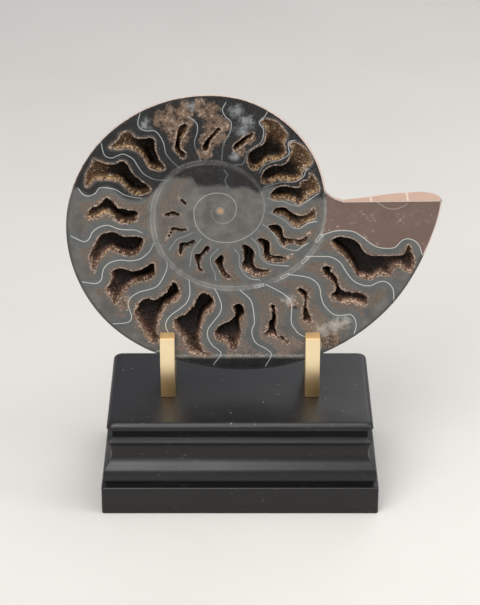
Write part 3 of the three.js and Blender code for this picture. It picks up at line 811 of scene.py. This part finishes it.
@dataclass(frozen=True)
class BlackPaint:
    """Satin black paint over fine wood grain, with dust on top and small scratches."""

    name: str = "black_paint"
    sheen: float = 0.45
    dust_cell: float = 5

    def material(self) -> Material:
        """Builds the material.

        Returns:
            The material.
        """
        shop = Shop(self.name)
        grain, cloud = shop.noise(1.1, 3, 0.55, (0.03, 1, 1)), shop.noise(30, 4)
        dust = (shop.grains(self.dust_cell) + (1 - shop.tints(self.dust_cell)) * 0.08).step(0.11, 0.06)
        scratch = shop.noise(0.6, 2, 0.5, (0.1, 1, 1)).step(0.68, 0.74)
        base = cloud.mix((9, 8, 8), (17, 16, 16)).layered(
            (scratch * cloud.step(0.46, 0.6) * 0.4, (110, 108, 106)),
            (dust * shop.height.step(57, 61, 0.3, 0.8), (150, 148, 144)),
        )
        roughness = 0.36 + (cloud - 0.5) * 0.16 + grain * 0.1
        surface = {"Base Color": base, "Roughness": roughness, "Specular IOR Level": self.sheen}
        return shop.finish(surface, grain, 0.03)


class Slot(Enum):
    """The record's material slots."""

    PAINT = "black_paint"
    BRASS = "brushed_brass"
    FOSSIL = "fossil_shell"
    CRYSTAL = "calcite_crystal"


def add(name: str, data: bpy.types.ID, *materials: Material) -> Object:
    """Puts new data into the scene.

    Args:
        name: The object's name.
        data: A mesh, camera or light.
        materials: One material for each material number in a mesh.

    Returns:
        The object.
    """
    for material in materials:
        data.materials.append(material)
    made = bpy.data.objects.new(name, data)
    bpy.context.scene.collection.objects.link(made)
    return made


def as_data(name: str, mesh: BMesh) -> Mesh:
    """Stores a bmesh as mesh data, and frees it.

    Args:
        name: The data's name.
        mesh: The bmesh.

    Returns:
        The data.
    """
    data = bpy.data.meshes.new(name)
    mesh.to_mesh(data)
    mesh.free()
    return data


def hand_over(name: str, mesh: BMesh, materials: Sequence[Material], slot: Slot, replaced: str, sharp: float,
              place: Matrix = TO_METRES) -> Object:
    """Turns a mesh into a piece that stands for a node.

    Args:
        name: The piece's name.
        mesh: Its mesh in millimetres, which is freed.
        materials: One material for each material number in the mesh.
        slot: The record's material slot; not used.
        replaced: The CAD node that it replaces.
        sharp: The angle in degrees past which an edge stays crisp.
        place: What takes the mesh to its place in metres.

    Returns:
        The piece.
    """
    bmesh.ops.transform(mesh, matrix=place, verts=mesh.verts)
    data = as_data(name, mesh)
    data.set_sharp_from_angle(angle=math.radians(sharp))
    piece = add(name, data, *materials)
    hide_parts(replaced)
    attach(piece, "root")
    log.info("%s: %d triangles", name, sum(len(face.vertices) - 2 for face in data.polygons))
    return piece


def write_field(data: Mesh, name: str, values: Array) -> None:
    """Stores one number for each vertex of a mesh."""
    data.attributes.new(name, "FLOAT", "POINT").data.foreach_set("value", np.asarray(values, np.float32))


def fresh(made: dict, kind: type) -> list:
    """The vertices, edges or faces among what an operator made."""
    return [part for part in made["geom"] if isinstance(part, kind)]


def smoothen(faces: Iterable[BMFace]) -> None:
    """Shades faces smoothly."""
    for face in faces:
        face.smooth = True


@dataclass
class Plinth:
    """The moulded wooden plinth: three painted boards."""

    width: float = 165
    depth: float = 97
    slab_height: float = 18.5
    moulding_top: float = 57
    height: float = 62
    slab_outset: float = 4
    slab_round: tuple[float, float] = (0.8, 1)
    board_round: tuple[float, float] = (0.4, 4.3)
    set_back: float = 3.2
    groove_foot: float = 50
    arc_steps: int = 8

    def arc(self, outset: float, z: float, radius: float, start: float) -> list[tuple[float, float]]:
        """A rounded edge of the profile: a quarter turn from an angle in degrees."""
        angles = [math.radians(start + 90 * i / self.arc_steps) for i in range(self.arc_steps + 1)]
        return [(outset + radius * math.cos(a), z + radius * math.sin(a)) for a in angles]

    def rounded(self, outset: float, foot: float, top: float, radii: tuple[float, float]) -> Points:
        """The profile of a board with a rounded foot and a rounded upper edge."""
        low, high = radii
        return [*self.arc(outset - low, foot + low, low, -90), *self.arc(outset - high, top - high, high, 0)]

    def board(self, name: str, profile: Points, corner: float, corner_steps: int,
              *materials: Material) -> Object:
        """Raises a rounded rectangle through a profile.

        Args:
            name: The node that the board replaces.
            profile: Outset and height, from the bottom up.
            corner: The radius of the corners seen from above.
            corner_steps: The number of edges around a corner.
            materials: The board's finish, and the low-sheen one that paints shade in the groove under the top
                board.

        Returns:
            The board.
        """
        mesh = bmesh.new()
        count = 4 * (corner_steps + 1)
        ring = bmesh.ops.create_circle(mesh, cap_ends=True, segments=count, radius=1)["verts"]
        across, along = (side / 2 + profile[0][0] - corner for side in (self.width, self.depth))
        for number, vertex in enumerate(ring):
            quarter, step = divmod(number, corner_steps + 1)
            angle = (quarter + step / corner_steps) * math.pi / 2
            right, back = ((1, 1), (-1, 1), (-1, -1), (1, -1))[quarter]
            x, y = right * across + corner * math.cos(angle), back * along + corner * math.sin(angle)
            vertex.co = (x, y, profile[0][1])
        cap = mesh.faces[:][0]
        for level, ((before, _), (outset, z)) in enumerate(zip(profile, profile[1:])):
            made = bmesh.ops.extrude_face_region(mesh, geom=[cap], use_keep_orig=level == 0)
            cap = max(fresh(made, BMFace), key=lambda face: len(face.verts))
            for vertex in cap.verts:
                vertex.co.x += (outset - before) * math.copysign(1, vertex.co.x)
                vertex.co.y += (outset - before) * math.copysign(1, vertex.co.y)
                vertex.co.z = z
        bmesh.ops.recalc_face_normals(mesh, faces=mesh.faces)
        smoothen(mesh.faces)
        for face in mesh.faces:
            in_groove = len(materials) > 1 and face.calc_center_median().z > self.groove_foot
            face.material_index = int(in_groove and abs(face.normal.z) < 0.1)
        return hand_over(f"{name}_painted", mesh, materials, Slot.PAINT, name, 32)

    def build(self) -> list[Object]:
        """Builds the three boards.

        Returns:
            The slab, the moulding and the top board.
        """
        # The groove's paint has little sheen, so the recess under the top board stays dark: painted shade.
        coat, groove = BlackPaint().material(), BlackPaint("groove_shade_paint", 0.12).material()
        slab = self.rounded(self.slab_outset, 0, self.slab_height, self.slab_round)
        lip = [(-0.3, 48.8), (-self.set_back, 51.2), (-self.set_back, self.moulding_top)]
        moulding = [(0.7, self.slab_height), *map(tuple, smooth_path(SWEEP, 0.8)), *lip]
        top = self.rounded(0, self.moulding_top, self.height, self.board_round)
        return [
            self.board("plinth_base_slab", slab, 1.5, 4, coat),
            self.board("plinth_moulding", moulding, 0.8, 2, coat, groove),
            self.board("plinth_top_board", top, 4, 6, coat),
        ]


@dataclass
class Brackets:
    """The two square brass brackets that hold the fossil."""

    bar: float = 9.2
    slot: float = 12.2
    rear_height: float = 35
    ledges: dict[str, float] = field(default_factory=lambda: {"bracket_left": 21.6, "bracket_right": 21.2})
    edge: float = 0.45

    def build(self) -> list[Object]:
        """Builds both brackets."""
        material = BrushedBrass().material()
        return [self.bracket(name, ledge, material) for name, ledge in self.ledges.items()]

    def bracket(self, name: str, ledge: float, material: Material) -> Object:
        """Builds one bracket in the box of its node.

        Args:
            name: The node that it replaces.
            ledge: The height of the ledge's top above the plinth.
            material: The bar's finish.

        Returns:
            The bracket.
        """
        low, high = (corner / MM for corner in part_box(name))
        bar, rear, top = self.bar, self.bar + self.slot, high.z - low.z
        outline = [
            (0, 0), (bar, 0), (bar, ledge - bar), (rear, ledge - bar), (rear, 0), (rear + bar, 0),
            (rear + bar, self.rear_height), (rear, self.rear_height), (rear, ledge), (bar, ledge),
            (bar, top), (0, top),
        ]
        mesh = bmesh.new()
        side = mesh.faces.new([mesh.verts.new((low.x, low.y + y, low.z + z)) for y, z in outline])
        made = bmesh.ops.extrude_face_region(mesh, geom=[side], use_keep_orig=True)
        bmesh.ops.translate(mesh, vec=(high.x - low.x, 0, 0), verts=fresh(made, BMVert))
        bmesh.ops.recalc_face_normals(mesh, faces=mesh.faces)
        bmesh.ops.bevel(
            mesh, geom=mesh.edges[:], offset=self.edge, offset_type="OFFSET", affect="EDGES", segments=3,
            profile=0.5, material=-1,
        )
        smoothen(mesh.faces)
        return hand_over(f"{name}_brass", mesh, [material], Slot.BRASS, name, 50)


@dataclass
class Hollow:
    """One open hollow, read from its CAD crust."""

    name: str
    coil: Coil
    smooth: float = 0.22
    ragged: float = 1.1
    ragged_hollows: tuple[int, ...] = (2, 3, 4, 6, 7, 10)
    tooth_samples: int = 7
    wall_width: float = 3.4
    rock_behind: float = 2.4
    depths: tuple[float, float] = (1.2, 9.5)

    def __post_init__(self) -> None:
        """Reads the outline from the flat back of the node."""
        smooth = smooth_path(self.outline(), 0.15, closed=True)
        self.path = self.toothed(smooth)
        self.contour = Contour([self.path], closed=True)
        self.smooth_contour = Contour([smooth], closed=True)
        radii = np.linalg.norm(self.path, axis=1)
        self.near, self.far = radii.min(), radii.max()
        length = np.linalg.norm(np.roll(self.path, -1, 0) - self.path, axis=1).sum()
        self.half_width = abs(signed_area(self.path)) / length

    def outline(self) -> Array:
        """Follows the edge of the node's flat back.

        Returns:
            Its corners, counter-clockwise.
        """
        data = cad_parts[self.name].data
        places = np.array([v.co for v in data.vertices]) / MM - np.array(FIRST_CHAMBER)
        back = places[:, 1].max() - 0.01
        links: dict[tuple, list] = {}
        for face in data.polygons:
            corners = [places[number] for number in face.vertices]
            behind = [tuple(np.round(corner[[0, 2]], 3)) for corner in corners if corner[1] > back]
            if len(behind) == 2 < len(face.vertices):
                for here, there in (behind, behind[::-1]):
                    links.setdefault(here, []).append(there)
        start = min(links)
        ring, before, here = [start], start, links[start][0]
        while here != start:
            ring.append(here)
            before, here = here, next((p for p in links[here] if p != before), start)
        outline = np.array(ring)
        return outline if signed_area(outline) > 0 else outline[::-1]

    def toothed(self, path: Array) -> Array:
        """Moves an outline in and out a little, as the crystals along it do.

        Args:
            path: The smooth outline.

        Returns:
            The ragged outline.
        """
        heading = np.roll(path, -1, 0) - np.roll(path, 1, 0)
        outward = np.column_stack([heading[:, 1], -heading[:, 0]]) / np.linalg.norm(heading, axis=1)[:, None]
        number = int(self.name[-2:])
        teeth = np.random.default_rng(number).uniform(-1, 1, len(path) // self.tooth_samples)
        reach = self.ragged if number in self.ragged_hollows else self.smooth
        stops = np.linspace(0, len(path), len(teeth) + 1)
        offset = np.interp(np.arange(len(path)), stops, np.append(teeth, teeth[0]))
        return path + outward * (offset * reach)[:, None] + outward * max(0, reach - self.smooth) * 0.3

    def floor(self, spots: Array) -> Array:
        """Lays out the hollow's floor: level with the face at its edge, deepest at its inner end.

        Args:
            spots: Places on the face.

        Returns:
            The depth behind each.
        """
        gaps, _ = self.contour.nearest(spots)
        inset, _ = self.smooth_contour.nearest(spots)
        shallowest, deepest = self.depths
        room = self.coil.outside(spots)[0] - self.rock_behind
        outward = (np.linalg.norm(spots, axis=1) - self.near) / (self.far - self.near)
        most = np.clip(np.minimum(room, deepest), shallowest, None) * (1 - 0.62 * ramp(outward, 0.3, 0.8))
        width = min(self.wall_width, 1.2 * self.half_width)
        wall = 1 - (1 - np.clip(inset / width, 0, 1)) ** 2
        return most * wall * np.clip(gaps / 0.3, 0, 1)


@dataclass
class Fossil:
    """The ammonite half and the crystals in its chambers."""

    coil: Coil = field(default_factory=Coil)
    face_cell: float = 1.0
    crystal_cell: float = 0.5
    rim_zone: float = 9.0
    crust: float = 0.6
    least_depth: float = 0.12
    start_angle: float = 12.2
    end_angle: float = 362.9
    wall_angles: tuple[float, float] = (-910, 11)
    chamber_start: float = 346.5
    chamber_floor: tuple[float, float] = (-14, 12)
    probe: float = 0.4

    def build(self) -> list[Object]:
        """Builds the shell and the crystal crusts.

        Returns:
            The pieces.
        """
        names = sorted(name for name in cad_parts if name.startswith("chamber_crystals"))
        hollows = [Hollow(name, self.coil) for name in names]
        shell = self.shell(hollows)
        material = Crystals().material()
        random = np.random.default_rng(7)
        return [shell, *(self.crystals(hollow, material, random) for hollow in hollows)]

    def contours(self, hollows: list[Hollow]) -> tuple[dict[str, Contour], Array]:
        """Gathers the curves on the face.

        Args:
            hollows: The open hollows.

        Returns:
            The curves by name, and whether each sample of the first, the face's edge, is on the ground end.
        """
        rim_path = self.coil.rim_path
        rim = rim_path(self.start_angle, self.end_angle)
        end = respaced(np.array(END_CUT[::-1]), FINE)
        septa = [smooth_path(septum, FINE) for septum in SEPTA]
        outer, inner = rim_path(self.chamber_start, self.end_angle), rim_path(*self.chamber_floor)
        contours = {
            "rim": Contour([np.vstack([rim, end])], closed=True),
            "hollow": Contour([hollow.path for hollow in hollows], closed=True),
            "septum": Contour(septa),
            "wall": Contour([rim_path(*self.wall_angles)]),
            "matrix": Contour([np.vstack([septa[0], outer, end, inner[::-1]])], closed=True),
        }
        return contours, np.arange(len(rim) + len(end)) >= len(rim)

    def shell(self, hollows: list[Hollow]) -> Object:
        """Builds the ammonite half.

        Args:
            hollows: The open hollows in its face.

        Returns:
            The piece.
        """
        contours, ground = self.contours(hollows)
        edge, *others = (contours[name] for name in ("rim", "hollow", "septum", "wall"))
        mesh = Sheet(edge, self.face_cell, others).mesh
        mesh.normal_update()
        front = mesh.faces[:]
        open_edges = [e for e in mesh.edges if e.is_boundary]
        copied = bmesh.ops.duplicate(mesh, geom=mesh.verts[:] + mesh.edges[:] + front)
        twins = dict(copied["vert_map"].items())
        back, back_faces = fresh(copied, BMVert), fresh(copied, BMFace)
        bmesh.ops.reverse_faces(mesh, faces=back_faces)
        spots = flat(v.co for v in back)
        gaps, numbers = edge.nearest(spots)
        on_ground = (np.abs(gaps) < TOUCH) & ground[numbers]
        self.dome(back, spots, on_ground)
        flagged = {v for v, flag in zip(back, on_ground) if flag}
        cut = [e for e in open_edges if all(twins[v] in flagged for v in e.verts)]
        end_faces = self.end(mesh, cut, twins)
        self.sink(front, hollows)
        smoothen(back_faces)
        hidden = [face for face in front if face.calc_center_median().y > 0.2]
        for number, faces in enumerate((back_faces, end_faces, hidden), 1):
            for face in faces:
                face.material_index = number
        bmesh.ops.remove_doubles(mesh, verts=mesh.verts, dist=0.002)
        spots = flat(v.co for v in mesh.verts)
        materials = [kind().material() for kind in (PolishedFace, ShellOutside, GroundEnd, DarkRock)]
        piece = hand_over("ammonite_shell", mesh, materials, Slot.FOSSIL, "ammonite_half", 40, TO_FACE)
        self.fields(piece.data, spots, contours)
        return piece

    def dome(self, back: list[BMVert], spots: Array, on_ground: Array) -> None:
        """Lays the back's vertices on the shell's outside, closer together towards the rim.

        Args:
            back: The vertices.
            spots: Their places on the face.
            on_ground: Whether each lies on the ground end.
        """
        radius = np.linalg.norm(spots, axis=1)
        bearing = np.degrees(np.arctan2(spots[:, 1], spots[:, 0]))
        rim = self.coil.rim(np.where(bearing < self.start_angle, bearing + 360, bearing))
        share = np.clip((rim - radius) / self.rim_zone, 0, 1)
        inward = self.rim_zone * share**2 * (2 - share)
        moved = spots * (np.where(share < 1, rim - inward, radius) / np.maximum(radius, 0.01))[:, None]
        moved[on_ground, 1] = spots[on_ground, 1]
        depth, _ = self.coil.outside(moved)
        depth[(share <= 0.0005) & ~on_ground] = 0
        for vertex, (x, z), y in zip(back, moved, depth):
            vertex.co = (x, y, z)

    def end(self, mesh: BMesh, edges: list[BMEdge], twins: dict[BMVert, BMVert]) -> list[BMFace]:
        """Closes the ground end between the face and the back.

        Args:
            mesh: The shell's mesh.
            edges: The face's edges along the ground end.
            twins: The back's vertex for each vertex of the face.

        Returns:
            The new faces.
        """
        made = bmesh.ops.extrude_edge_only(mesh, edges=edges)
        targets = {tuple(v.co): twins[v].co.copy() for e in edges for v in e.verts}
        for vertex in fresh(made, BMVert):
            vertex.co = targets[tuple(vertex.co)]
        return fresh(made, BMFace)

    def sink(self, front: list[BMFace], hollows: list[Hollow]) -> None:
        """Sinks the face inside each hollow, a little deeper than its crystals.

        Args:
            front: The faces of the cut.
            hollows: The hollows.
        """
        level = list({v for f in front for v in f.verts})
        spots = flat(v.co for v in level)
        for hollow in hollows:
            near = ((spots > hollow.path.min(0)) & (spots < hollow.path.max(0))).all(axis=1).nonzero()[0]
            gaps, _ = hollow.contour.nearest(spots[near])
            inside = near[gaps > TOUCH]
            for number, y in zip(inside, hollow.floor(spots[inside]) + self.crust):
                level[number].co.y = y

    def fields(self, data: Mesh, spots: Array, contours: dict[str, Contour]) -> None:
        """Stores the distances that the finishes read.

        Args:
            data: The shell's mesh.
            spots: Each vertex's place on the face.
            contours: The curves on the face.
        """
        values = {name: contour.nearest(spots)[0] for name, contour in contours.items()}
        values["hollow"] *= -1
        for name in ("septum", "wall"):
            values[f"{name}_gap"] = np.abs(values[name])
        # The height above the border of the painted dark reflection.
        border = smooth_path(DARK_REFLECTION_EDGE, 0.5)
        values["veil"] = spots[:, 1] - np.interp(spots[:, 0], border[:, 0], border[:, 1])
        beads = []
        for start, end in np.array(BEADS, float):
            along = end - start
            share = np.clip((spots - start) @ along / (along @ along), 0, 1)
            beads.append(np.linalg.norm(spots - start - share[:, None] * along, axis=1))
        values["bead"] = np.min(beads, axis=0)
        for name, blobs in {"druse": DRUSE, "cloud": CLOUD}.items():
            reach = [1 - np.linalg.norm(spots - (x, z), axis=1) / (1.6 * size) for x, z, size in blobs]
            values[name] = np.clip(np.max(reach, axis=0), 0, 1)
        values["growth"] = 0.5 + 0.5 * np.sin(4 * np.pi * self.coil.outside(spots)[1])
        for name, numbers in values.items():
            write_field(data, name, numbers)

    def crystals(self, hollow: Hollow, material: Material, random: np.random.Generator) -> Object:
        """Builds the jagged crystal lining of one hollow.

        Args:
            hollow: The hollow.
            material: The crystals' finish.
            random: The source of the scatter.

        Returns:
            The piece.
        """
        sheet = Sheet(hollow.contour, self.crystal_cell)
        mesh = sheet.mesh
        bmesh.ops.triangulate(mesh, faces=mesh.faces)
        spots = sheet.spots()
        gaps, _ = hollow.contour.nearest(spots)
        base = hollow.floor(spots)
        probe = self.probe
        right, left, higher, lower = (
            hollow.floor(spots + step) for step in ((probe, 0), (-probe, 0), (0, probe), (0, -probe))
        )
        shelf = np.clip((higher - lower) / 2.0, -1, 1)
        steep = np.hypot(right - left, higher - lower) / (2 * probe)
        rough = np.clip(gaps, 0, 0.5) * (1 - 0.6 * ramp(base, 3, 6)) / (1 + 0.5 * steep)
        jag = random.uniform(-1, 1, (len(spots), 3)) * rough[:, None]
        least = self.least_depth
        depth = np.clip(least + base + jag[:, 1] * 0.9, least, base + self.crust * 0.8 + least)
        mesh.verts.ensure_lookup_table()
        made = bmesh.ops.extrude_face_region(mesh, geom=mesh.faces[:], use_keep_orig=True)
        lookup = {(round(x, 5), round(z, 5)): number for number, (x, z) in enumerate(spots)}
        mesh.verts.index_update()
        order = np.array([lookup[(round(v.co.x, 5), round(v.co.z, 5))] for v in mesh.verts])
        for vertex, number in zip(mesh.verts, order):
            vertex.co.y = depth[number] + self.crust
        for vertex in fresh(made, BMVert):
            across, _, up = jag[order[vertex.index]] * 0.5
            vertex.co += Vector((across, -self.crust, up))
        bmesh.ops.recalc_face_normals(mesh, faces=mesh.faces)
        smoothen(mesh.faces)
        sunk = [vertex.co.y for vertex in mesh.verts]
        piece = hand_over(f"{hollow.name}_lining", mesh, [material], Slot.CRYSTAL, hollow.name, 60, TO_FACE)
        # The depth and the upward slope drive the painted light and shade in the crystals' colour.
        write_field(piece.data, "sunk", sunk)
        write_field(piece.data, "shelf", shelf[order])
        return piece


@dataclass
class Studio:
    """The pale floor, the soft lights and the camera."""

    camera_place: Triple = (0, -1239.8, 741.1)
    pitch: float = 26.55
    lens: float = 132.34
    film: float = 36
    floor_size: float = 12.0
    sky: float = 0.45

    def build(self) -> None:
        """Sets the stage: floor, lights, world and camera."""
        self.stand_floor()
        self.area("overhead", (0.15, -0.35, 1.45), (0, 0, 0.1), 1.6, 22)
        self.area("front_left", (-0.7, -1.2, 1.5), (0, 0, 0.15), 1.2, 25)
        self.area("right", (1.3, -0.4, 0.8), (0, 0, 0.15), 0.6, 7)
        self.area("back", (0.5, 1.2, 0.85), (0, 0, 0.1), 0.7, 2.4)
        scene = bpy.context.scene
        scene.world = bpy.data.worlds.new("studio")
        scene.world.use_nodes = True
        sky = scene.world.node_tree.nodes["Background"].inputs
        sky["Color"].default_value = (0.9, 0.93, 1.0, 1)
        sky["Strength"].default_value = self.sky
        scene.view_settings.view_transform = "Standard"
        data = bpy.data.cameras.new("camera")
        data.lens = self.lens
        data.sensor_width = data.sensor_height = self.film
        scene.camera = add("camera", data)
        scene.camera.location = [part * MM for part in self.camera_place]
        scene.camera.rotation_euler = (math.radians(90 - self.pitch), 0, 0)

    def stand_floor(self) -> None:
        """Lays the floor."""
        mesh = bmesh.new()
        bmesh.ops.create_grid(mesh, x_segments=1, y_segments=1, size=self.floor_size / 2)
        shop = Shop("pale_floor")
        base = shop.noise(160, 3).mix((188, 184, 178), (198, 194, 188))
        add("floor", as_data("floor", mesh), shop.finish({"Base Color": base, "Roughness": 0.6}))

    def area(self, name: str, place: Triple, target: Triple, size: float, power: float) -> None:
        """Hangs a square soft light.

        Args:
            name: The light's name.
            place: Where it hangs, in metres.
            target: What it points at, in metres.
            size: Its side in metres.
            power: Its power in watts.
        """
        data = bpy.data.lights.new(name, "AREA")
        data.size, data.energy = size, power
        light = add(name, data)
        light.location = place
        light.rotation_euler = (Vector(target) - Vector(place)).to_track_quat("-Z", "Y").to_euler()


def main() -> None:
    """Builds the scene in order and reports each piece."""
    logging.basicConfig(level=logging.INFO, format="%(message)s")
    Studio().build()
    for assembly in (Plinth(), Brackets(), Fossil()):
        pieces = assembly.build()
        log.info("%s: %d pieces", type(assembly).__name__, len(pieces))


if __name__ == "__main__":
    main()
